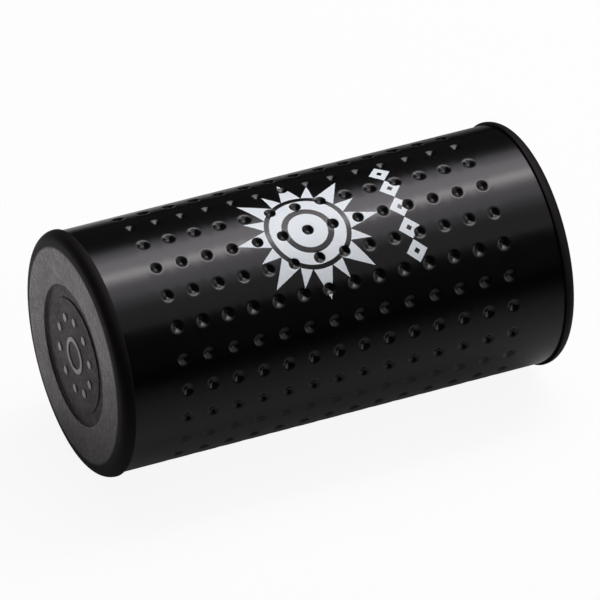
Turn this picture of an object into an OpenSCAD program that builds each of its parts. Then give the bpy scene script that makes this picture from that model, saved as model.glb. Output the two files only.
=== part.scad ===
// Cylinder shaker: a dimpled steel shell, two moulded end caps and a loose filling of steel shot.
// The shell lies along X and Z is up. The origin is on the shell's axis, halfway along it.

/* [Overall] */
// Length over the outer faces of both end caps
overall_length = 127; // [110:1:150]
// Outside diameter of the steel shell
shell_diameter = 63.5; // [56:0.5:72]
// Thickness of the steel sheet
sheet_thickness = 0.8; // [0.6:0.1:1.2]

/* [Dimples] */
// Number of dimples in a ring round the shell
dimples_around = 24; // [18:1:26]
// Distance between neighbouring rings of dimples
ring_pitch = 7; // [6:0.5:9]
// Least plain length at each end of the shell, up to the middle of the first ring of dimples
plain_end = 14.5; // [13:0.5:20]
// Width of a dimple's mouth on the outside
dimple_width = 3.2; // [2.6:0.1:3.6]
// Depth of a dimple below the outside
dimple_depth = 0.8; // [0.6:0.05:1]
// Width of the small flat at a dimple's tip
dimple_tip_width = 0.4; // [0.3:0.1:0.8]
// Width of the narrow strip that stays flat along each row of dimples
strip_width = 4.48; // [4.4:0.02:4.8]

/* [End caps] */
// Thickness of a cap's rim, from its outer face to the shell's end
rim_thickness = 3.4; // [3.3:0.1:4.5]
// Height of the rim above the outside of the shell
rim_lip = 0.65; // [0.3:0.05:1]
// Radius of the rim's rounded outer edge
rim_rounding = 3; // [1.5:0.1:3.2]
// Radius of the rim's edge beside the shell
rim_back_rounding = 0.2; // [0.1:0.05:0.25]
// Thickness of the end wall behind the outer face
end_wall = 2.8; // [2.4:0.1:3.2]
// Length of the skirt inside the shell
skirt_length = 9; // [6:0.5:10]
// Thickness of the skirt
skirt_wall = 1.6; // [1.2:0.1:2.4]
// Radial clearance between the skirt and the shell
skirt_clearance = 0.2; // [0.1:0.05:0.3]
// Slope cut off the skirt's end, so that it starts easily into the shell
skirt_lead_in = 0.8; // [0.4:0.1:1]
// Number of crush ribs round the skirt
crush_ribs = 12; // [6:1:18]
// Width of a crush rib
crush_rib_width = 1.2; // [0.8:0.1:2]
// Gap between a crush rib's crest and the shell
crush_rib_gap = 0.02; // [0.01:0.01:0.05]

/* [Recess in the outer face] */
// Diameter of the round recess
recess_diameter = 37.4; // [32:0.2:44]
// Depth of the ring-shaped floor round the centre disc
recess_depth = 0.8; // [0.7:0.1:1.2]
// Diameter of the centre disc
disc_diameter = 30.4; // [26:0.2:31]
// Height of the centre disc above the ring-shaped floor
disc_height = 0.3; // [0.2:0.1:0.4]
// Height of the raised ring and dots on the centre disc
motif_height = 0.25; // [0.1:0.05:0.3]
// Outside diameter of the raised ring
motif_ring_diameter = 10; // [8:0.5:12]
// Width of the raised ring
motif_ring_width = 1.4; // [0.8:0.1:2]
// Diameter of the circle that the raised dots stand on
dot_circle_diameter = 20; // [18:0.5:21]
// Diameter of a raised dot
dot_diameter = 2.4; // [1.6:0.1:3]
// Number of raised dots
dots = 10; // [6:1:12]

/* [Filling] */
// Diameter of one ball of shot
ball_diameter = 4.5; // [4:0.5:5]
// Gap between neighbouring balls
ball_gap = 0.3; // [0.1:0.05:0.4]
// Gap between the outermost balls and the tips of the dimples inside the shell
filling_clearance = 0.5; // [0.3:0.1:0.7]
// Number of balls in a row, along the shell
balls_in_row = 11; // [8:1:13]

/* [Hidden] */
$fn = 96;
// Facets round a dimple and round a ball of shot
dimple_facets = 24;
ball_facets = 24;
// Length by which a cut runs past the surface that it opens
overrun = 1;

shell_r = shell_diameter / 2;
shell_length = overall_length - 2 * rim_thickness;

// A dimple is a blunt cone pressed in from outside, and the sheet keeps its thickness round it.
dimple_slope = atan(dimple_depth / ((dimple_width - dimple_tip_width) / 2));
bump_widening = sheet_thickness * tan(dimple_slope / 2);
dimple_rings = floor((shell_length - 2 * plain_end) / ring_pitch) + 1;

// The sheet is punched flat and then rolled, so a narrow strip stays flat along each row of dimples.
strip_r = sqrt(pow(shell_r, 2) - pow(strip_width / 2, 2));
inner_strip_r = strip_r - sheet_thickness;
bore_r = sqrt(pow(inner_strip_r, 2) + pow(strip_width / 2, 2));
bump_tip_r = strip_r - dimple_depth - sheet_thickness;

rim_r = shell_r + rim_lip;
skirt_r = inner_strip_r - skirt_clearance;
skirt_inner_r = skirt_r - skirt_wall;
skirt_end = rim_thickness + skirt_length;
crush_crest_r = inner_strip_r - crush_rib_gap;

recess_r = recess_diameter / 2;
disc_r = disc_diameter / 2;
disc_depth = recess_depth - disc_height;

ball_r = ball_diameter / 2;
ball_pitch = ball_diameter + ball_gap;
heap_r = bump_tip_r - filling_clearance - ball_r;
layer_pitch = ball_pitch * sin(60);
lowest_layer_z = -sqrt(pow(heap_r, 2) - pow(ball_pitch / 2, 2));
// Share of a step that keeps a row which fits exactly
exact_fit_share = 0.001;

// Lays a shape made along Z along X instead, with its start on the left.
module along_x() {
    rotate([0, 90, 0]) children();
}

// Corners of a polygon with one side for each row of dimples, at a given distance from the axis.
function row_polygon(side_r) = [
    for (row = [0 : dimples_around - 1])
        let (turn = row * 360 / dimples_around, corner_r = side_r / cos(180 / dimples_around))
        [corner_r * cos(turn), corner_r * sin(turn)]
];

// Cross-section of the rolled sheet's outside or inside: a circle with a flat strip at each row.
module rolled_section(round_r, flat_r) {
    intersection() {
        circle(r = round_r);
        polygon(row_polygon(flat_r));
    }
}

// Places a child at the tip of every dimple, with its own Z pointing outwards.
module at_dimples() {
    for (row = [0 : dimples_around - 1])
        rotate([0, 0, (row + 0.5) * 360 / dimples_around])
            for (ring = [0 : dimple_rings - 1])
                translate([strip_r - dimple_depth, 0, (ring - (dimple_rings - 1) / 2) * ring_pitch])
                    rotate([0, 90, 0]) children();
}

// The blunt cone of a dimple, from its tip at the origin past the outside of the sheet.
module punch(tip_r) {
    height = dimple_depth + overrun;
    cylinder(r1 = tip_r, r2 = tip_r + height / tan(dimple_slope), h = height, $fn = dimple_facets);
}

module shell() {
    color("#1c1b1d") along_x() difference() {
        linear_extrude(shell_length, center = true) rolled_section(shell_r, strip_r);
        difference() {
            linear_extrude(shell_length + 2 * overrun, center = true)
                rolled_section(bore_r, inner_strip_r);
            at_dimples() translate([0, 0, -sheet_thickness]) punch(dimple_tip_width / 2 + bump_widening);
        }
        at_dimples() punch(dimple_tip_width / 2);
    }
}

// What a rounded corner takes off a square one. The corner is at the origin, below and to the right.
module corner_scrap(radius) {
    difference() {
        translate([-radius, -overrun]) square([radius + overrun, radius + overrun]);
        translate([-radius, radius]) circle(r = radius);
    }
}

// Half of the cap's section: across is the distance from the axis, up is inwards from the outer face.
module cap_section() {
    difference() {
        square([rim_r, skirt_end]);
        // Outside of the skirt, with its lead-in.
        translate([skirt_r, rim_thickness]) square([rim_r - skirt_r + overrun, skirt_length + overrun]);
        polygon([
            [skirt_r - skirt_lead_in / 2, skirt_end],
            [skirt_r - skirt_lead_in / 2, skirt_end + overrun],
            [skirt_r + overrun, skirt_end + overrun],
            [skirt_r + overrun, skirt_end - skirt_lead_in],
            [skirt_r, skirt_end - skirt_lead_in]
        ]);
        // Hollow inside the skirt.
        translate([-overrun, end_wall])
            square([skirt_inner_r + overrun, skirt_end - end_wall + overrun]);
        // Rounded edges of the rim.
        translate([rim_r, 0]) corner_scrap(rim_rounding);
        translate([rim_r, rim_thickness]) mirror([0, 1]) corner_scrap(rim_back_rounding);
        // Recess, down to the centre disc and then to the ring-shaped floor round it.
        translate([-overrun, -overrun]) square([recess_r + overrun, disc_depth + overrun]);
        translate([disc_r, -overrun]) square([recess_r - disc_r, recess_depth + overrun]);
    }
}

// Raised ring and dots on the centre disc.
module motif() {
    translate([0, 0, disc_depth - motif_height]) {
        difference() {
            cylinder(r = motif_ring_diameter / 2, h = motif_height + disc_height);
            translate([0, 0, -overrun])
                cylinder(
                    r = motif_ring_diameter / 2 - motif_ring_width,
                    h = motif_height + disc_height + 2 * overrun
                );
        }
        for (dot = [0 : dots - 1])
            rotate([0, 0, dot * 360 / dots]) translate([dot_circle_diameter / 2, 0, 0])
                cylinder(r = dot_diameter / 2, h = motif_height + disc_height);
    }
}

// Thin ribs along the skirt that hold the cap in the shell.
module crush_rib_set() {
    rib_root_r = skirt_r - skirt_wall / 2;
    rib_face_r = sqrt(pow(crush_crest_r, 2) - pow(crush_rib_width / 2, 2));
    for (rib = [0 : crush_ribs - 1])
        rotate([0, 0, rib * 360 / crush_ribs])
            translate([rib_root_r, -crush_rib_width / 2, end_wall])
                cube([
                    rib_face_r - rib_root_r,
                    crush_rib_width,
                    skirt_end - skirt_lead_in - end_wall
                ]);
}

// One moulded cap, with its outer face at the origin and its skirt along Z.
module end_cap() {
    color("#2b292c") union() {
        rotate_extrude() cap_section();
        motif();
        crush_rib_set();
    }
}

module left_end_cap() {
    translate([-overall_length / 2, 0, 0]) along_x() end_cap();
}

module right_end_cap() {
    mirror([1, 0, 0]) left_end_cap();
}

// One level layer of shot: rows along the shell, as many as fit between its curved sides.
module shot_layer(layer) {
    z = lowest_layer_z + layer * layer_pitch;
    half_width = sqrt(pow(heap_r, 2) - pow(z, 2));
    // Every second layer is shifted by half a row, so that its rows lie in the hollows below.
    shift_share = layer % 2 == 0 ? 0.5 : 0;
    last_row = floor(half_width / ball_pitch - shift_share + exact_fit_share);
    first_row = -last_row - 2 * shift_share;
    color("#9a9ca0")
        for (row = [first_row : last_row])
            for (ball = [0 : balls_in_row - 1])
                translate([
                    (ball - (balls_in_row - 1) / 2) * ball_pitch,
                    (row + shift_share) * ball_pitch,
                    z
                ])
                    sphere(r = ball_r, $fn = ball_facets);
}

module shot_bottom_layer() {
    shot_layer(0);
}

module shot_middle_layer() {
    shot_layer(1);
}

module shot_top_layer() {
    shot_layer(2);
}

shell();
left_end_cap();
right_end_cap();
shot_bottom_layer();
shot_middle_layer();
shot_top_layer();
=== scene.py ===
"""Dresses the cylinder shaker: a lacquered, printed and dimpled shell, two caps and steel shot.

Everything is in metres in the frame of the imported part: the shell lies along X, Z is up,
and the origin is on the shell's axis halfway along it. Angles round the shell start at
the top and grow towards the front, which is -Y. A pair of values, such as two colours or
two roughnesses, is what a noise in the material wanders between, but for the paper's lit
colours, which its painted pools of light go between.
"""

import math

import bmesh
import bpy
import numpy as np
from mathutils import Matrix, Vector

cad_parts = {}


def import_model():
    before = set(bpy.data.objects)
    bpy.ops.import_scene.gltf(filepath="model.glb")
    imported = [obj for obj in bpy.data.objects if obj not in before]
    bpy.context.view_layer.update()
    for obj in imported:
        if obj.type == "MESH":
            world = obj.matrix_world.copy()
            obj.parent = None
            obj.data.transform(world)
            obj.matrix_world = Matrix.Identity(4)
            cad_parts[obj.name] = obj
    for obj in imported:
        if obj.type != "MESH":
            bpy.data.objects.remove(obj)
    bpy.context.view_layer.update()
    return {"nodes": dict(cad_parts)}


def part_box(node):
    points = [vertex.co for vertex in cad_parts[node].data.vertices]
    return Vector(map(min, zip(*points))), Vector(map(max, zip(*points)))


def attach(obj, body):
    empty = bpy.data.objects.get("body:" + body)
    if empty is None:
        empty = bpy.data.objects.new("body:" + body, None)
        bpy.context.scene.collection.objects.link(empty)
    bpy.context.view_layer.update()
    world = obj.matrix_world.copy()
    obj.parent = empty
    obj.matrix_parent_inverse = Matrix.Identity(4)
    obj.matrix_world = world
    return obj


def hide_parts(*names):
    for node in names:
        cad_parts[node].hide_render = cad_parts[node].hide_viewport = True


MM = 0.001

# The dimpled sheet. A dimple has a round tip, a straight wall and a round shoulder.
DIMPLE_ROWS = 24
DIMPLE_RINGS = 14
RING_PITCH = 7 * MM
SHEET = 0.8 * MM
PIT_BOTTOM = 0.8 * MM
PIT_WALL = 0.9 * MM
PIT_SHOULDER = 1.4 * MM
PIT_SLOPE = math.radians(30)
BUMP_HEIGHT = 0.8 * MM
BUMP_FOOT = 2.5 * MM

# The moulded cap.
RIM_THICKNESS = 3.4 * MM
RIM_ROUNDING = 2.95 * MM
CROWN_WIDTH = 3.64 * MM
CROWN_SLOPE = math.radians(8)
CROWN_ROUNDING = 16 * MM
RIM_BACK_ROUNDING = 0.2 * MM
EDGE_ROUNDING = 0.12 * MM
END_WALL = 2.8 * MM
SKIRT_WALL = 1.6 * MM
SKIRT_CLEARANCE = 0.3 * MM
SKIRT_LEAD_IN = 0.8 * MM
RECESS_RADIUS = 18.7 * MM
RECESS_DEPTH = 0.8 * MM
DISC_RADIUS = 15.2 * MM
DISC_DEPTH = 0.5 * MM
MOTIF_HEIGHT = 0.25 * MM
MOTIF_RING_OUTER = 5 * MM
MOTIF_RING_INNER = 3.6 * MM
DOTS = 10
DOT_RADIUS = 1.2 * MM
DOT_CIRCLE_RADIUS = 10 * MM
DOT_EDGE_WIDTH = 0.2
DOT_EDGE_HEIGHT = 0.6
CRUSH_RIBS = 12
CRUSH_RIB_WIDTH = 1.2 * MM
CRUSH_CREST = 30.85 * MM

# How finely round shapes are cut. Rings round a dimple are shares of the zone that they lie in,
# but for the one outside it. Edges that bend by more degrees than a crease are shaded sharp.
CELL_SIDE_STEPS = 5
TIP_RING = 0.55
SHOULDER_RINGS = (0.25, 0.5, 0.75, 1)
OUTSIDE_RING = 0.2 * MM
BUMP_RINGS = (0.35, 0.7, 1)
PLAIN_END_STEPS = 4
LATHE_STEPS = 192
ARC_STEP = 0.1 * MM
ARC_LEAST_STEPS = 5
DOT_STEPS = 32
DOT_EDGE_STEPS = 4
WELD_GRAIN = MM / 1000
SHELL_CREASE = 60
CAP_CREASE = 50

# The photograph's camera: where it stands and how it is aimed.
AZIMUTH = math.radians(-24.57)
ELEVATION = math.radians(34.02)
CAMERA_DISTANCE = 2.0656
AIM_LEFT = 0.14 * MM
AIM_DOWN = 0.54 * MM
LENS_MM = 482.8
SENSOR_MM = 36

# The print, in millimetres: its middle's place along the shell and round it, and its shapes.
SUN_X = -3.5
PRINT_ARC = 12.47
INK_EDGE = 0.05
INK_RAGGED = 0.06
SUN_DISC = 5.2
SUN_RING_INNER = 6.8
SUN_RING_OUTER = 10
SUN_RAYS = 8
SUN_RAY_FOOT = 11.3
SUN_LONG_TIP = 19.5
SUN_LONG_FOOT = 5.2
SUN_SHORT_TIP = 16.5
SUN_SHORT_FOOT = 3.2
LOZENGE_X = 22.2
LOZENGES = 5
LOZENGE_PITCH = 6.4
LOZENGE_HALF_WIDTH = 2.9
LOZENGE_HALF_HEIGHT = 3.1
LOZENGE_HOLE = 0.3

# The lacquer and the ink. A noise is grain size, detail and, unless it is 0.5, roughness.
LACQUER_IOR = 1.42
LACQUER = ((0.0012, 0.0012, 0.0014), (0.0030, 0.0028, 0.0031))
LACQUER_ROUGHNESS = (0.17, 0.23)
LACQUER_CLOUD = (9 * MM, 4.0)
LACQUER_PEEL = (0.9 * MM, 2.0)
PEEL_SHARE = 0.3
STREAKS = (0.35 * MM, 3.0, 0.6)
STREAK_STRETCH = (0.04, 1, 1)
STREAK_ROUGHNESS = (-0.03, 0.03)
INK = ((0.775, 0.84, 0.865), (0.845, 0.915, 0.94))
INK_ROUGHNESS = (0.38, 0.5)
INK_SPECK = (0.3 * MM, 5.0, 0.7)
INK_SPECK_SHARE = 0.04
INK_RAGGED_GRAIN = (0.25 * MM, 2.0)
INK_REACH = 0.1 * MM
INK_THICKNESS = 0.012 * MM

# The caps' plastic. A fade is where a zone starts and where it is full, measured from its edge.
PLASTIC_IOR = 1.46
PLASTIC_TINT = (1.0, 0.85, 0.88)
FACE_FADE = (-3.5 * MM, -4.5 * MM)
RECESS_FADE = (0.1 * MM, -0.3 * MM)
# Where the painted light on the recess's wall starts and is full: a pale band where it overlaps the
# recess.
RECESS_WALL_PAINTED_LIGHT_FADE = (-0.3 * MM, -0.15 * MM)
DISC_FADE = (0.15 * MM, -0.1 * MM)
MOTIF_FADE = (0.16 * MM, 0.06 * MM)
FACE = ((0.015, 0.0125, 0.013), (0.050, 0.0415, 0.043))
RECESS = ((0.010, 0.0087, 0.009), (0.030, 0.0255, 0.0265))
# Painted light: the pale colour of the recess's wall.
RECESS_WALL_PAINTED_LIGHT = ((0.2, 0.185, 0.19), (0.3, 0.28, 0.285))
DISC = ((0.009, 0.0078, 0.0082), (0.028, 0.024, 0.025))
# The raised motif's paler colour: partly wear, partly a painted highlight on its top.
MOTIF_WORN_AND_PAINTED_HIGHLIGHT = ((0.44, 0.41, 0.415), (0.56, 0.525, 0.53))
RIM = ((0.0025, 0.0024, 0.0025), (0.006, 0.0057, 0.006))
FACE_ROUGHNESS = (0.38, 0.24)
RECESS_ROUGHNESS = (0.66, 0.48)
MOTIF_ROUGHNESS = (0.22, 0.16)
RIM_ROUGHNESS = (0.6, 0.68)
RIM_SPECULAR = 0.2
FACE_SPECULAR = 0.5
GRAIN = (1.5 * MM, 5.0, 0.7)
GRAIN_SHARE = 0.7
GRAIN_CONTRAST = (0.35, 0.65)
GRAIN_HEIGHT = 0.25 * MM
SMOOTH_GRAIN = 0.15
CAP_CLOUD = (7 * MM, 4.0)

# The shot's steel.
STEEL = ((0.5, 0.5, 0.52), (0.66, 0.66, 0.67))
STEEL_ROUGHNESS = (0.18, 0.35)
STEEL_WEAR = (1.5 * MM, 6.0, 0.7)
STEEL_SCRATCHES = (0.3 * MM, 4.0)
SCRATCH_DEPTH = 0.01 * MM

# The paper that the object lies on, and the two pools of light painted on it, which black surfaces
# see.
PAPER_WHITE = ((0.93, 0.93, 0.93), (0.95, 0.95, 0.95))
PAPER_WHITE_SHARE = 0.91
# The paper's colour in the painted pools of light, from far off to their middle.
PAPER_LIT = ((0.01, 0.01, 0.01), (0.9, 0.895, 0.9))
PAPER_FIBRE = (2 * MM, 3.0)
PAPER_ROUGHNESS = 0.9
PAPER_GLOW = 0.6
PAPER_SHADE_REACH = 0.15
PAPER_SHADE_SAMPLES = 8
POOL_LEFT = 0.13
POOL_BEHIND = 0.07
POOL_REACH = 0.13
POOL_BACK_STRETCH = 0.5
POOL_FRONT_STRETCH = 1.3
SPOT_RIGHT = 0.09
SPOT_FRONT = 0.03
SPOT_REACH = 0.06
SPOT_SHARE = 0.3
FLOOR_RINGS = (0.05, 0.2, 0.6, 1.2, 2.0, 2.8)
FLOOR_STEPS = 96
SWEEP_START = 3.2
SWEEP_REACH = 0.6
SWEEP_RISE = 0.32
SWEEP_STEPS = 16

# The lamps and the dim room. An overhead lamp has the two angles that it spans, in degrees from
# straight up towards the front, then its radiance and colour. A side lamp has its direction,
# width and radiance, and is white.
ROOM = 0.03
OVERHEAD_DISTANCE = 1.4
OVERHEAD_LENGTH = 1.5
OVERHEAD_LEAN = 0.345
OVERHEADS = (
    ("widest_softbox", -40, 43, 0.42, (0.97, 0.94, 1.0)),
    ("wide_softbox", -37, 21, 0.42, (0.97, 0.94, 1.0)),
    ("middle_softbox", -36, 13, 0.85, (1.0, 0.93, 1.0)),
    ("narrow_softbox", -28, -2, 1.9, (1.0, 0.95, 0.99)),
    ("overhead_strip", -13, -6, 4.8, (1.0, 0.98, 0.93)),
)
SIDE_DISTANCE = 1.2
SIDE_LAMPS = (
    ("right_softbox", (0.85, -0.3, 0.42), 1.2, 0.45),
    ("front_softbox", (0.78, -0.61, 0.1), 0.7, 0.9),
)


def make_object(name, vertices, faces):
    """A smooth mesh object from lists of vertices and faces."""
    mesh = bpy.data.meshes.new(name)
    mesh.from_pydata([tuple(v) for v in vertices], [], [tuple(f) for f in faces])
    mesh.validate()
    mesh.polygons.foreach_set("use_smooth", [True] * len(mesh.polygons))
    piece = bpy.data.objects.new(name, mesh)
    bpy.context.scene.collection.objects.link(piece)
    return piece


def weld(vertices, faces):
    """Joins vertices that lie on the same spot, and drops the faces that this closes up."""
    points = np.asarray(vertices, float)
    keys = np.round(points / WELD_GRAIN).astype(np.int64)
    _, first, back = np.unique(keys, axis=0, return_index=True, return_inverse=True)
    back = back.reshape(-1)
    welded = []
    for face in faces:
        loop = [int(back[i]) for i in face]
        loop = [a for a, b in zip(loop, loop[1:] + loop[:1]) if a != b]
        if len(loop) > 2:
            welded.append(loop)
    return points[first], welded


def sharpen(piece, degrees):
    """Shades the edges that bend by more than this many degrees as sharp ones."""
    bm = bmesh.new()
    bm.from_mesh(piece.data)
    limit = math.radians(degrees)
    for edge in bm.edges:
        if edge.is_manifold and edge.calc_face_angle(0) > limit:
            edge.smooth = False
    bm.to_mesh(piece.data)
    bm.free()


def on_shell(along, angle, radius):
    """A point given by its place along the shell, its angle from the top and its radius."""
    return (along, -radius * math.sin(angle), radius * math.cos(angle))


def circle(along, radius, steps):
    """Points evenly round the shell's axis, from the top towards the front."""
    return [on_shell(along, 2 * math.pi * k / steps, radius) for k in range(steps)]


def band(start, steps, turned):
    """The quads between the ring of vertices that begins at start and the ring that follows it."""
    quads = []
    for i in range(steps):
        j = (i + 1) % steps
        quad = (start + i, start + steps + i, start + steps + j, start + j)
        quads.append(quad[::-1] if turned else quad)
    return quads


def pit_places():
    """How far from a dimple's middle its round tip, straight wall and round shoulder end."""
    bottom = PIT_BOTTOM * math.sin(PIT_SLOPE)
    wall = bottom + PIT_WALL
    return bottom, wall, wall + PIT_SHOULDER * math.sin(PIT_SLOPE)


def pit_depth(distance):
    """Depth of a pressed dimple at a distance from its middle."""
    bottom, wall, mouth = pit_places()
    if distance >= mouth:
        return 0.0
    if distance > wall:
        return PIT_SHOULDER - math.sqrt(PIT_SHOULDER**2 - (mouth - distance) ** 2)
    drop = 1 - math.cos(PIT_SLOPE)
    if distance > bottom:
        return PIT_SHOULDER * drop + (wall - distance) * math.tan(PIT_SLOPE)
    middle = (PIT_SHOULDER + PIT_BOTTOM) * drop + PIT_WALL * math.tan(PIT_SLOPE)
    return middle - PIT_BOTTOM + math.sqrt(PIT_BOTTOM**2 - distance**2)


def bump_depth(distance):
    """How far the inside of the sheet is pushed in behind a dimple."""
    if distance >= BUMP_FOOT:
        return 0.0
    return BUMP_HEIGHT * (1 + math.cos(math.pi * distance / BUMP_FOOT)) / 2


def dimpled_surface(radius, half_length, depth_of, rings, outward):
    """One side of the sheet. Circles round each dimple grow into a square cell."""
    row_angle = 2 * math.pi / DIMPLE_ROWS
    half_along = RING_PITCH / 2
    half_round = radius * row_angle / 2
    steps = [-1 + 2 * i / CELL_SIDE_STEPS for i in range(CELL_SIDE_STEPS)]
    border = [(s, -1) for s in steps] + [(1, s) for s in steps]
    border += [(-s, 1) for s in steps] + [(-1, -s) for s in steps]
    around = len(border)
    vertices, faces = [], []
    for ring in range(DIMPLE_RINGS):
        middle = (ring - (DIMPLE_RINGS - 1) / 2) * RING_PITCH
        for row in range(DIMPLE_ROWS):
            turn = (row + 0.5) * row_angle
            base = len(vertices)
            vertices.append(on_shell(middle, turn, radius - depth_of(0)))
            for distance in rings:
                for a, b in border:
                    across, up = a * half_along, b * half_round
                    share = distance / math.hypot(across, up)
                    place = on_shell(
                        middle + across * share,
                        turn + up * share / radius,
                        radius - depth_of(distance),
                    )
                    vertices.append(place)
            for a, b in border:
                vertices.append(on_shell(middle + a * half_along, turn + b * row_angle / 2, radius))
            faces += [(base, base + 1 + i, base + 1 + (i + 1) % around) for i in range(around)]
            for k in range(len(rings)):
                faces += band(base + 1 + k * around, around, False)
    edge = DIMPLE_RINGS / 2 * RING_PITCH
    columns = DIMPLE_ROWS * CELL_SIDE_STEPS
    for side in (-1, 1):
        base = len(vertices)
        for step in range(PLAIN_END_STEPS + 1):
            along = edge + (half_length - edge) * step / PLAIN_END_STEPS
            vertices += circle(side * along, radius, columns)
        for step in range(PLAIN_END_STEPS):
            faces += band(base + step * columns, columns, side < 0)
    if outward:
        faces = [f[::-1] for f in faces]
    return vertices, faces


def shell_piece():
    """The whole sheet: dimpled outside, bumps inside, and a plain edge at each end."""
    low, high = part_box("shell")
    radius = (high.z - low.z) / 2
    half_length = (high.x - low.x) / 2
    bottom, wall, mouth = pit_places()
    outer_rings = [bottom * TIP_RING, bottom, (bottom + wall) / 2, wall]
    outer_rings += [wall + (mouth - wall) * share for share in SHOULDER_RINGS]
    outer_rings += [mouth + OUTSIDE_RING]
    inner_rings = [BUMP_FOOT * share for share in BUMP_RINGS]
    outer, outer_faces = dimpled_surface(radius, half_length, pit_depth, outer_rings, True)
    inner_r = radius - SHEET
    inner, inner_faces = dimpled_surface(inner_r, half_length, bump_depth, inner_rings, False)
    vertices = outer + inner
    faces = outer_faces + [tuple(i + len(outer) for i in f) for f in inner_faces]
    columns = DIMPLE_ROWS * CELL_SIDE_STEPS
    for side in (-1, 1):
        faces += band(len(vertices), columns, side > 0)
        for edge_r in (radius, inner_r):
            vertices += circle(side * half_length, edge_r, columns)
    piece = make_object("printed_shell", *weld(vertices, faces))
    sharpen(piece, SHELL_CREASE)
    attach(piece, "casing")
    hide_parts("shell")
    return piece


def rounded(corners):
    """A line through corners, each (depth, radius, rounding), with the corners turned to arcs."""
    line = []
    for i, (x, y, size) in enumerate(corners):
        here = Vector((x, y))
        if size == 0 or i in (0, len(corners) - 1):
            line.append(here)
            continue
        before = (Vector(corners[i - 1][:2]) - here).normalized()
        after = (Vector(corners[i + 1][:2]) - here).normalized()
        half = before.angle(after) / 2
        length = size * (math.pi - 2 * half)
        reach = size / math.tan(half)
        middle = here + (before + after).normalized() * size / math.sin(half)
        start, end = here + before * reach, here + after * reach
        count = max(ARC_LEAST_STEPS, int(length / ARC_STEP))
        for k in range(count + 1):
            spoke = (start - middle).normalized().slerp((end - middle).normalized(), k / count)
            line.append(middle + spoke.normalized() * size)
    return line


def lathe(line, side, end):
    """Turns a line of (depth, radius) about the shell's axis. Depth goes inwards from the end."""
    vertices, faces = [], []
    for depth, radius in line:
        vertices += circle(side * (end - depth), radius, LATHE_STEPS)
    for row in range(len(line) - 1):
        faces += band(row * LATHE_STEPS, LATHE_STEPS, side < 0)
    return vertices, faces


def cap_line(rim_r, skirt_r, skirt_end):
    """Half of the cap's section, from the middle of the outer face round to the inside."""
    fine = EDGE_ROUNDING
    raised = DISC_DEPTH - MOTIF_HEIGHT
    inside_r = skirt_r - SKIRT_WALL
    return rounded(
        [
            (DISC_DEPTH, 0, 0),
            (DISC_DEPTH, MOTIF_RING_INNER, fine),
            (raised, MOTIF_RING_INNER + fine, fine),
            (raised, MOTIF_RING_OUTER - fine, fine),
            (DISC_DEPTH, MOTIF_RING_OUTER, fine),
            (DISC_DEPTH, DISC_RADIUS, fine),
            (RECESS_DEPTH, DISC_RADIUS + fine, fine),
            (RECESS_DEPTH, RECESS_RADIUS - 2 * fine, 2 * fine),
            (0, RECESS_RADIUS + fine, 4 * fine),
            (0, rim_r - CROWN_WIDTH, CROWN_ROUNDING),
            (CROWN_WIDTH * math.tan(CROWN_SLOPE), rim_r, RIM_ROUNDING),
            (RIM_THICKNESS, rim_r, RIM_BACK_ROUNDING),
            (RIM_THICKNESS, skirt_r, fine),
            (skirt_end - SKIRT_LEAD_IN, skirt_r, fine),
            (skirt_end, skirt_r - SKIRT_LEAD_IN / 2, fine),
            (skirt_end, inside_r, fine),
            (END_WALL, inside_r, 3 * fine),
            (END_WALL, 0, 0),
        ]
    )


def add_block(vertices, faces, corners, side):
    """Adds a six-sided block from its eight corners: four of one end, then four of the other."""
    base = len(vertices)
    vertices.extend(corners)
    for f in ((3, 2, 1, 0), (4, 5, 6, 7), (0, 1, 5, 4), (1, 2, 6, 5), (2, 3, 7, 6), (3, 0, 4, 7)):
        loop = tuple(base + i for i in f)
        faces.append(loop if side < 0 else loop[::-1])


def add_dot(vertices, faces, side, end, angle):
    """Adds a low raised dot with a rounded edge, which starts below the centre disc's surface."""
    shoulder = 1 - DOT_EDGE_HEIGHT
    line = [
        (DISC_DEPTH + MOTIF_HEIGHT, DOT_RADIUS),
        (DISC_DEPTH - MOTIF_HEIGHT * shoulder, DOT_RADIUS),
    ]
    for step in range(1, DOT_EDGE_STEPS + 1):
        bend = math.pi / 2 * step / DOT_EDGE_STEPS
        rise = shoulder + DOT_EDGE_HEIGHT * math.sin(bend)
        width = 1 - DOT_EDGE_WIDTH + DOT_EDGE_WIDTH * math.cos(bend)
        line.append((DISC_DEPTH - MOTIF_HEIGHT * rise, DOT_RADIUS * width))
    _, middle_y, middle_z = on_shell(0, angle, DOT_CIRCLE_RADIUS)
    base = len(vertices)
    for depth, radius in line:
        for x, y, z in circle(side * (end - depth), radius, DOT_STEPS):
            vertices.append((x, middle_y + y, middle_z + z))
    for row in range(len(line) - 1):
        faces += band(base + row * DOT_STEPS, DOT_STEPS, side > 0)
    top = tuple(base + (len(line) - 1) * DOT_STEPS + k for k in range(DOT_STEPS))
    bottom = tuple(base + k for k in range(DOT_STEPS))
    faces.append(top[::-1] if side < 0 else top)
    faces.append(bottom if side < 0 else bottom[::-1])


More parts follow.
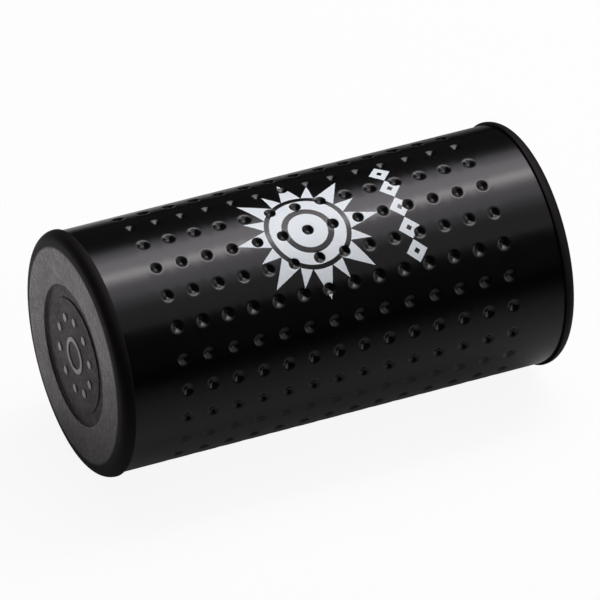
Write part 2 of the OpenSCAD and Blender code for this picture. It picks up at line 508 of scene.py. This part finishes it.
def cap_piece(node, side):
    """One end cap, with its face on the left for side -1 and on the right for side 1."""
    low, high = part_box(node)
    shell_low, shell_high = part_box("shell")
    end = max(abs(low.x), abs(high.x))
    rim_r = (high.z - low.z) / 2
    skirt_r = (shell_high.z - shell_low.z) / 2 - SHEET - SKIRT_CLEARANCE
    skirt_end = high.x - low.x
    vertices, faces = weld(*lathe(cap_line(rim_r, skirt_r, skirt_end), side, end))
    vertices = [tuple(v) for v in vertices]
    for dot in range(DOTS):
        add_dot(vertices, faces, side, end, 2 * math.pi * dot / DOTS)
    rib_root = skirt_r - SKIRT_WALL / 2
    outline = ((rib_root, -1), (CRUSH_CREST, -1), (CRUSH_CREST, 1), (rib_root, 1))
    for rib in range(CRUSH_RIBS):
        turn = 2 * math.pi * rib / CRUSH_RIBS
        corners = []
        for depth in (END_WALL, skirt_end - SKIRT_LEAD_IN):
            for radius, across in outline:
                lean = turn + across * CRUSH_RIB_WIDTH / 2 / radius
                corners.append(on_shell(side * (end - depth), lean, radius))
        add_block(vertices, faces, corners, side)
    piece = make_object(node + "_moulding", vertices, faces)
    sharpen(piece, CAP_CREASE)
    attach(piece, "casing")
    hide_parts(node)
    return piece


class Nodes:
    """Builds a material's node tree with short calls."""

    def __init__(self, name):
        self.material = bpy.data.materials.new(name)
        self.material.use_nodes = True
        self.tree = self.material.node_tree
        self.shader = self.tree.nodes["Principled BSDF"]

    def add(self, kind, **values):
        """A new node with these properties."""
        node = self.tree.nodes.new(kind)
        for key, value in values.items():
            setattr(node, key, value)
        return node

    def feed(self, socket, value):
        """Links an output to the socket, or sets the socket to a plain value."""
        if isinstance(value, bpy.types.NodeSocket):
            self.tree.links.new(value, socket)
        else:
            socket.default_value = value

    def look(self, **values):
        """Feeds the main shader's inputs, each named with underscores for its spaces."""
        for key, value in values.items():
            self.feed(self.shader.inputs[key.replace("_", " ")], value)

    def math(self, operation, *values, clamp=False):
        """One step of arithmetic."""
        node = self.add("ShaderNodeMath", operation=operation, use_clamp=clamp)
        for socket, value in zip(node.inputs, values):
            self.feed(socket, value)
        return node.outputs[0]

    def product(self, first, *others):
        """All the values multiplied."""
        for other in others:
            first = self.math("MULTIPLY", first, other)
        return first

    def length(self, first, second):
        """The distance that two lengths at right angles make up."""
        squares = self.product(first, first), self.product(second, second)
        return self.math("SQRT", self.math("ADD", *squares))

    def axes(self):
        """The point in the part's own frame, whole and as its X, Y and Z."""
        place = self.add("ShaderNodeTexCoord").outputs["Object"]
        split = self.add("ShaderNodeSeparateXYZ")
        self.feed(split.inputs[0], place)
        return place, tuple(split.outputs)

    def noise(self, place, size, detail, roughness=0.5):
        """Noise whose grains are about size metres across."""
        node = self.add("ShaderNodeTexNoise")
        self.feed(node.inputs["Vector"], place)
        self.feed(node.inputs["Scale"], 1 / size)
        self.feed(node.inputs["Detail"], detail)
        self.feed(node.inputs["Roughness"], roughness)
        return node.outputs["Fac"]

    def spread(self, value, low, high):
        """Turns a value from 0 to 1 into one from low to high."""
        node = self.add("ShaderNodeMapRange")
        self.feed(node.inputs["Value"], value)
        self.feed(node.inputs["To Min"], low)
        self.feed(node.inputs["To Max"], high)
        return node.outputs["Result"]

    def step(self, value, start, end):
        """0 on the start's side and 1 on the end's, smooth between them."""
        node = self.add("ShaderNodeMapRange", interpolation_type="SMOOTHSTEP")
        self.feed(node.inputs["Value"], value)
        self.feed(node.inputs["From Min"], start)
        self.feed(node.inputs["From Max"], end)
        return node.outputs["Result"]

    def fade(self, value, edge, offsets):
        """A step whose start and end are given from an edge."""
        return self.step(value, edge + offsets[0], edge + offsets[1])

    def blend(self, share, low, high):
        """Goes from low to high as share goes from 0 to 1."""
        node = self.add("ShaderNodeMix", data_type="FLOAT")
        self.feed(node.inputs[0], share)
        self.feed(node.inputs[2], low)
        self.feed(node.inputs[3], high)
        return node.outputs[0]

    def stretch(self, place, scale):
        """The point with each axis scaled by itself."""
        node = self.add("ShaderNodeVectorMath", operation="MULTIPLY")
        self.feed(node.inputs[0], place)
        self.feed(node.inputs[1], scale)
        return node.outputs[0]

    def mix_colour(self, share, first, second):
        """Goes from one colour to another as share goes from 0 to 1."""
        node = self.add("ShaderNodeMix", data_type="RGBA")
        self.feed(node.inputs[0], share)
        self.feed(node.inputs[6], first)
        self.feed(node.inputs[7], second)
        return node.outputs[2]

    def colour(self, share, pair):
        """A colour between the two of a pair."""
        return self.mix_colour(share, (*pair[0], 1), (*pair[1], 1))

    def bump(self, height, distance):
        """Raises the fine relief of the surface by up to this distance."""
        node = self.add("ShaderNodeBump")
        self.feed(node.inputs["Height"], height)
        self.feed(node.inputs["Distance"], distance)
        self.look(Normal=node.outputs["Normal"])


def in_millimetres(nodes, value, middle):
    """A length in metres turned to millimetres from a middle, itself in millimetres."""
    return nodes.math("SUBTRACT", nodes.product(value, 1 / MM), middle)


def below(nodes, value, limit, blur=INK_EDGE):
    """1 where the value is below the limit and 0 above it, with an edge as sharp as print."""
    return nodes.step(value, limit + blur, limit - blur)


def above(nodes, value, limit, blur=INK_EDGE):
    """1 where the value is above the limit and 0 below it, with an edge as sharp as print."""
    return nodes.step(value, limit - blur, limit + blur)


def sunburst(nodes, across, up):
    """A disc in a ring with long and short rays round it, drawn in millimetres."""
    far = nodes.length(across, up)
    turn = nodes.math("ARCTAN2", up, across)
    disc = below(nodes, far, SUN_DISC)
    ring = nodes.product(above(nodes, far, SUN_RING_INNER), below(nodes, far, SUN_RING_OUTER))
    shape = nodes.math("MAXIMUM", disc, ring)
    foot = above(nodes, far, SUN_RAY_FOOT)
    long_rays = (SUN_LONG_TIP, 0.0, SUN_LONG_FOOT)
    short_rays = (SUN_SHORT_TIP, math.pi / SUN_RAYS, SUN_SHORT_FOOT)
    for tip, start, width in (long_rays, short_rays):
        # How far the point is from the nearest ray's middle line, in millimetres along the arc.
        part = nodes.product(nodes.math("ADD", turn, start), SUN_RAYS / 2 / math.pi)
        off = nodes.math("ABSOLUTE", nodes.math("WRAP", part, 0.5, -0.5))
        arc = nodes.product(off, far, 2 * math.pi / SUN_RAYS)
        # Half of the ray's width at this distance: it narrows evenly from its foot to its tip.
        left = nodes.product(nodes.math("SUBTRACT", tip, far), width / (tip - SUN_RAY_FOOT) / 2)
        inside = below(nodes, nodes.math("SUBTRACT", arc, left), 0)
        shape = nodes.math("MAXIMUM", shape, nodes.product(inside, foot))
    return shape


def lozenge_column(nodes, across, up):
    """Equal lozenges with a hole in each, one above the other, drawn in millimetres."""
    near = nodes.math("ABSOLUTE", nodes.math("WRAP", up, LOZENGE_PITCH / 2, -LOZENGE_PITCH / 2))
    size = nodes.math(
        "ADD",
        nodes.math("DIVIDE", nodes.math("ABSOLUTE", across), LOZENGE_HALF_WIDTH),
        nodes.math("DIVIDE", near, LOZENGE_HALF_HEIGHT),
    )
    blur = INK_EDGE / LOZENGE_HALF_WIDTH
    outline = below(nodes, size, 1, blur)
    hole = above(nodes, size, LOZENGE_HOLE, blur)
    reach = LOZENGES * LOZENGE_PITCH / 2
    within = nodes.math("LESS_THAN", nodes.math("ABSOLUTE", up), reach)
    return nodes.product(outline, hole, within)


def print_mask(nodes, place, axes, radius):
    """A sunburst and a column of lozenges in ink, on the sheet but not down in the dimples."""
    x, y, z = axes
    arc = nodes.product(nodes.math("ARCTAN2", nodes.product(y, -1.0), z), radius)
    ragged = nodes.noise(place, *INK_RAGGED_GRAIN)
    ragged = nodes.spread(ragged, -INK_RAGGED * MM, INK_RAGGED * MM)
    x = nodes.math("ADD", x, ragged)
    up = in_millimetres(nodes, nodes.math("ADD", arc, ragged), PRINT_ARC)
    sun = sunburst(nodes, in_millimetres(nodes, x, SUN_X), up)
    column = lozenge_column(nodes, in_millimetres(nodes, x, LOZENGE_X), up)
    sheet = nodes.step(nodes.length(y, z), radius - INK_REACH, radius - INK_REACH / 2)
    return nodes.product(nodes.math("MAXIMUM", sun, column), sheet)


def shell_material(radius):
    """Satin black lacquer on steel with a print in pale ink."""
    nodes = Nodes("lacquer_and_print")
    place, axes = nodes.axes()
    ink = print_mask(nodes, place, axes, radius)
    cloud = nodes.noise(place, *LACQUER_CLOUD)
    peel = nodes.noise(place, *LACQUER_PEEL)
    speck = nodes.noise(place, *INK_SPECK)
    streaks = nodes.noise(nodes.stretch(place, STREAK_STRETCH), *STREAKS)
    gloss = nodes.spread(cloud, *LACQUER_ROUGHNESS)
    gloss = nodes.math("ADD", gloss, nodes.spread(streaks, *STREAK_ROUGHNESS))
    nodes.look(
        Base_Color=nodes.mix_colour(ink, nodes.colour(cloud, LACQUER), nodes.colour(speck, INK)),
        Roughness=nodes.blend(ink, gloss, nodes.spread(speck, *INK_ROUGHNESS)),
        IOR=LACQUER_IOR,
    )
    relief = nodes.product(peel, PEEL_SHARE), nodes.product(speck, INK_SPECK_SHARE)
    nodes.bump(nodes.math("ADD", nodes.math("ADD", *relief), ink), INK_THICKNESS)
    return nodes.material


def cap_material(rim_r, end):
    """Black plastic: a grained face, a dull recess with painted light on its wall, a worn motif
    with a painted highlight, a matt rim.
    """
    nodes = Nodes("grained_plastic")
    place, (x, y, z) = nodes.axes()
    far = nodes.length(y, z)
    depth = nodes.math("SUBTRACT", end, nodes.math("ABSOLUTE", x))
    face = nodes.fade(far, rim_r, FACE_FADE)
    recess = nodes.fade(far, RECESS_RADIUS, RECESS_FADE)
    disc = nodes.fade(far, DISC_RADIUS, DISC_FADE)
    # The raised motif, coloured paler as wear and as a painted highlight.
    motif = nodes.product(disc, nodes.fade(depth, DISC_DEPTH - MOTIF_HEIGHT, MOTIF_FADE))
    # The recess's wall, which is coloured pale as painted light.
    edge = nodes.product(recess, nodes.fade(far, RECESS_RADIUS, RECESS_WALL_PAINTED_LIGHT_FADE))
    grain = nodes.noise(place, *GRAIN)
    cloud = nodes.noise(place, *CAP_CLOUD)
    speck = nodes.product(grain, GRAIN_SHARE), nodes.product(cloud, 1 - GRAIN_SHARE)
    speck = nodes.step(nodes.math("ADD", *speck), *GRAIN_CONTRAST)
    colour = nodes.colour(speck, FACE)
    for zone, pair in ((recess, RECESS), (edge, RECESS_WALL_PAINTED_LIGHT), (disc, DISC), (motif, MOTIF_WORN_AND_PAINTED_HIGHLIGHT)):
        colour = nodes.mix_colour(zone, colour, nodes.colour(speck, pair))
    gloss = nodes.spread(speck, *FACE_ROUGHNESS)
    gloss = nodes.blend(recess, gloss, nodes.spread(speck, *RECESS_ROUGHNESS))
    gloss = nodes.blend(motif, gloss, nodes.spread(speck, *MOTIF_ROUGHNESS))
    nodes.look(
        Base_Color=nodes.mix_colour(face, nodes.colour(cloud, RIM), colour),
        Roughness=nodes.blend(face, nodes.spread(cloud, *RIM_ROUGHNESS), gloss),
        Specular_IOR_Level=nodes.blend(face, RIM_SPECULAR, FACE_SPECULAR),
        Specular_Tint=(*PLASTIC_TINT, 1),
        IOR=PLASTIC_IOR,
    )
    coarse = nodes.blend(motif, nodes.blend(face, SMOOTH_GRAIN, 1.0), SMOOTH_GRAIN)
    nodes.bump(nodes.product(grain, coarse), GRAIN_HEIGHT)
    return nodes.material


def steel_material():
    """Bright steel balls with fine scratches."""
    nodes = Nodes("bright_steel")
    place, _ = nodes.axes()
    wear = nodes.noise(place, *STEEL_WEAR)
    nodes.look(
        Base_Color=nodes.colour(wear, STEEL),
        Metallic=1.0,
        Roughness=nodes.spread(wear, *STEEL_ROUGHNESS),
    )
    nodes.bump(nodes.noise(place, *STEEL_SCRATCHES), SCRATCH_DEPTH)
    return nodes.material


def pool(nodes, right, back, reach):
    """Painted light that is full at a spot on the paper and falls off with the distance from it."""
    return nodes.math("EXPONENT", nodes.product(nodes.length(right, back), -1 / reach))


def floor_material():
    """White paper. The camera sees it plain white. Every other ray sees painted pools of light in
    its colour, and reflections also see them as a glow, dimmed near the object by ambient
    occlusion.
    """
    nodes = Nodes("white_paper")
    place, (x, y, _) = nodes.axes()
    right = nodes.math("ADD", x, POOL_LEFT)
    back = nodes.math("SUBTRACT", y, POOL_BEHIND)
    stretched = nodes.product(back, POOL_BACK_STRETCH), nodes.product(back, -POOL_FRONT_STRETCH)
    light = pool(nodes, right, nodes.math("MAXIMUM", *stretched), POOL_REACH)
    right = nodes.math("SUBTRACT", x, SPOT_RIGHT)
    spot = pool(nodes, right, nodes.math("ADD", y, SPOT_FRONT), SPOT_REACH)
    light = nodes.math("ADD", light, nodes.product(spot, SPOT_SHARE), clamp=True)
    rays = nodes.add("ShaderNodeLightPath").outputs
    reflected = nodes.math("MAXIMUM", rays["Is Glossy Ray"], rays["Is Transmission Ray"])
    shade = nodes.add("ShaderNodeAmbientOcclusion", samples=PAPER_SHADE_SAMPLES)
    nodes.feed(shade.inputs["Distance"], PAPER_SHADE_REACH)
    white = nodes.colour(nodes.noise(place, *PAPER_FIBRE), PAPER_WHITE)
    nodes.look(
        Base_Color=nodes.mix_colour(rays["Is Camera Ray"], nodes.colour(light, PAPER_LIT), white),
        Roughness=PAPER_ROUGHNESS,
        Specular_IOR_Level=0.0,
        Emission_Color=(1, 1, 1, 1),
        Emission_Strength=nodes.product(reflected, light, shade.outputs["AO"], PAPER_GLOW),
    )
    seen = nodes.add("ShaderNodeEmission")
    mix = nodes.add("ShaderNodeMixShader")
    nodes.feed(mix.inputs[0], nodes.product(rays["Is Camera Ray"], PAPER_WHITE_SHARE))
    nodes.feed(mix.inputs[1], nodes.shader.outputs[0])
    nodes.feed(mix.inputs[2], seen.outputs[0])
    output = next(n for n in nodes.tree.nodes if n.type == "OUTPUT_MATERIAL")
    nodes.feed(output.inputs["Surface"], mix.outputs[0])
    return nodes.material


def make_floor(height):
    """A round white floor that sweeps up into a low backdrop all round, far behind every camera."""
    line = [(radius, 0.0) for radius in FLOOR_RINGS]
    for i in range(SWEEP_STEPS + 1):
        bend = math.pi / 2 * i / SWEEP_STEPS
        rise = SWEEP_RISE * (1 - math.cos(bend))
        line.append((SWEEP_START + SWEEP_REACH * math.sin(bend), rise))
    vertices = [(0.0, 0.0, height)]
    for radius, rise in line:
        for k in range(FLOOR_STEPS):
            turn = 2 * math.pi * k / FLOOR_STEPS
            vertices.append((radius * math.cos(turn), radius * math.sin(turn), height + rise))
    faces = [(0, 1 + k, 1 + (k + 1) % FLOOR_STEPS) for k in range(FLOOR_STEPS)]
    for row in range(len(line) - 1):
        faces += band(1 + row * FLOOR_STEPS, FLOOR_STEPS, False)
    floor = make_object("white_floor", vertices, faces)
    floor.data.materials.append(floor_material())


def make_camera():
    """The photograph's camera, which looks down on the shaker from the front left."""
    level = math.cos(ELEVATION)
    back = Vector((math.sin(AZIMUTH) * level, -math.cos(AZIMUTH) * level, math.sin(ELEVATION)))
    right = Vector((0, 0, 1)).cross(back).normalized()
    up = back.cross(right)
    data = bpy.data.cameras.new("photograph_camera")
    data.lens = LENS_MM
    data.sensor_width = SENSOR_MM
    camera = bpy.data.objects.new("photograph_camera", data)
    camera.location = back * CAMERA_DISTANCE - right * AIM_LEFT - up * AIM_DOWN
    camera.rotation_mode = "QUATERNION"
    camera.rotation_quaternion = (-back).to_track_quat("-Z", "Y")
    bpy.context.scene.collection.objects.link(camera)
    bpy.context.scene.camera = camera


def make_lamp(name, towards, distance, size, radiance, colour):
    """A softbox that faces the object. Its radiance is that of the lit cloth."""
    data = bpy.data.lights.new(name, "AREA")
    data.shape = "RECTANGLE"
    data.size, data.size_y = size
    data.energy = radiance * math.pi * size[0] * size[1]
    data.color = colour
    lamp = bpy.data.objects.new(name, data)
    towards = Vector(towards).normalized()
    side = Vector((0, 1, 0)).cross(towards).normalized()
    turn = Matrix((side, towards.cross(side), towards)).transposed()
    lamp.location = towards * distance
    lamp.rotation_mode = "QUATERNION"
    lamp.rotation_quaternion = turn.to_quaternion()
    lamp.visible_camera = False
    bpy.context.scene.collection.objects.link(lamp)


def make_overhead(name, back, front, radiance, colour):
    """A softbox overhead that spans these angles from straight up towards the front.

    It leans to the right, where the camera sees it mirrored in the shell.
    """
    middle = math.radians(back + front) / 2
    width = 2 * OVERHEAD_DISTANCE * math.tan(math.radians(front - back) / 2)
    upright = math.sqrt(1 - OVERHEAD_LEAN**2)
    towards = (OVERHEAD_LEAN, -upright * math.sin(middle), upright * math.cos(middle))
    make_lamp(name, towards, OVERHEAD_DISTANCE, (OVERHEAD_LENGTH, width), radiance, colour)


def make_world():
    """A dim room all round."""
    world = bpy.data.worlds.new("dim_room")
    world.use_nodes = True
    background = world.node_tree.nodes["Background"]
    background.inputs["Color"].default_value = (ROOM, ROOM, ROOM, 1)
    background.inputs["Strength"].default_value = 1
    bpy.context.scene.world = world


def main():
    """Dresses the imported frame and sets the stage."""
    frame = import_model()
    make_camera()
    shell = shell_piece()
    low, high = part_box("shell")
    shell.data.materials.append(shell_material((high.z - low.z) / 2))
    low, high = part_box("left_end_cap")
    plastic = cap_material((high.z - low.z) / 2, -low.x)
    for node, side in (("left_end_cap", -1), ("right_end_cap", 1)):
        cap_piece(node, side).data.materials.append(plastic)
    steel = steel_material()
    for node in ("shot_bottom_layer", "shot_middle_layer", "shot_top_layer"):
        for material_slot in frame["nodes"][node].material_slots:
            material_slot.material = steel
    make_floor(low.z)
    for overhead in OVERHEADS:
        make_overhead(*overhead)
    for name, towards, width, radiance in SIDE_LAMPS:
        make_lamp(name, towards, SIDE_DISTANCE, (width, width), radiance, (1.0, 1.0, 1.0))
    make_world()
    bpy.context.scene.view_settings.view_transform = "Standard"


main()
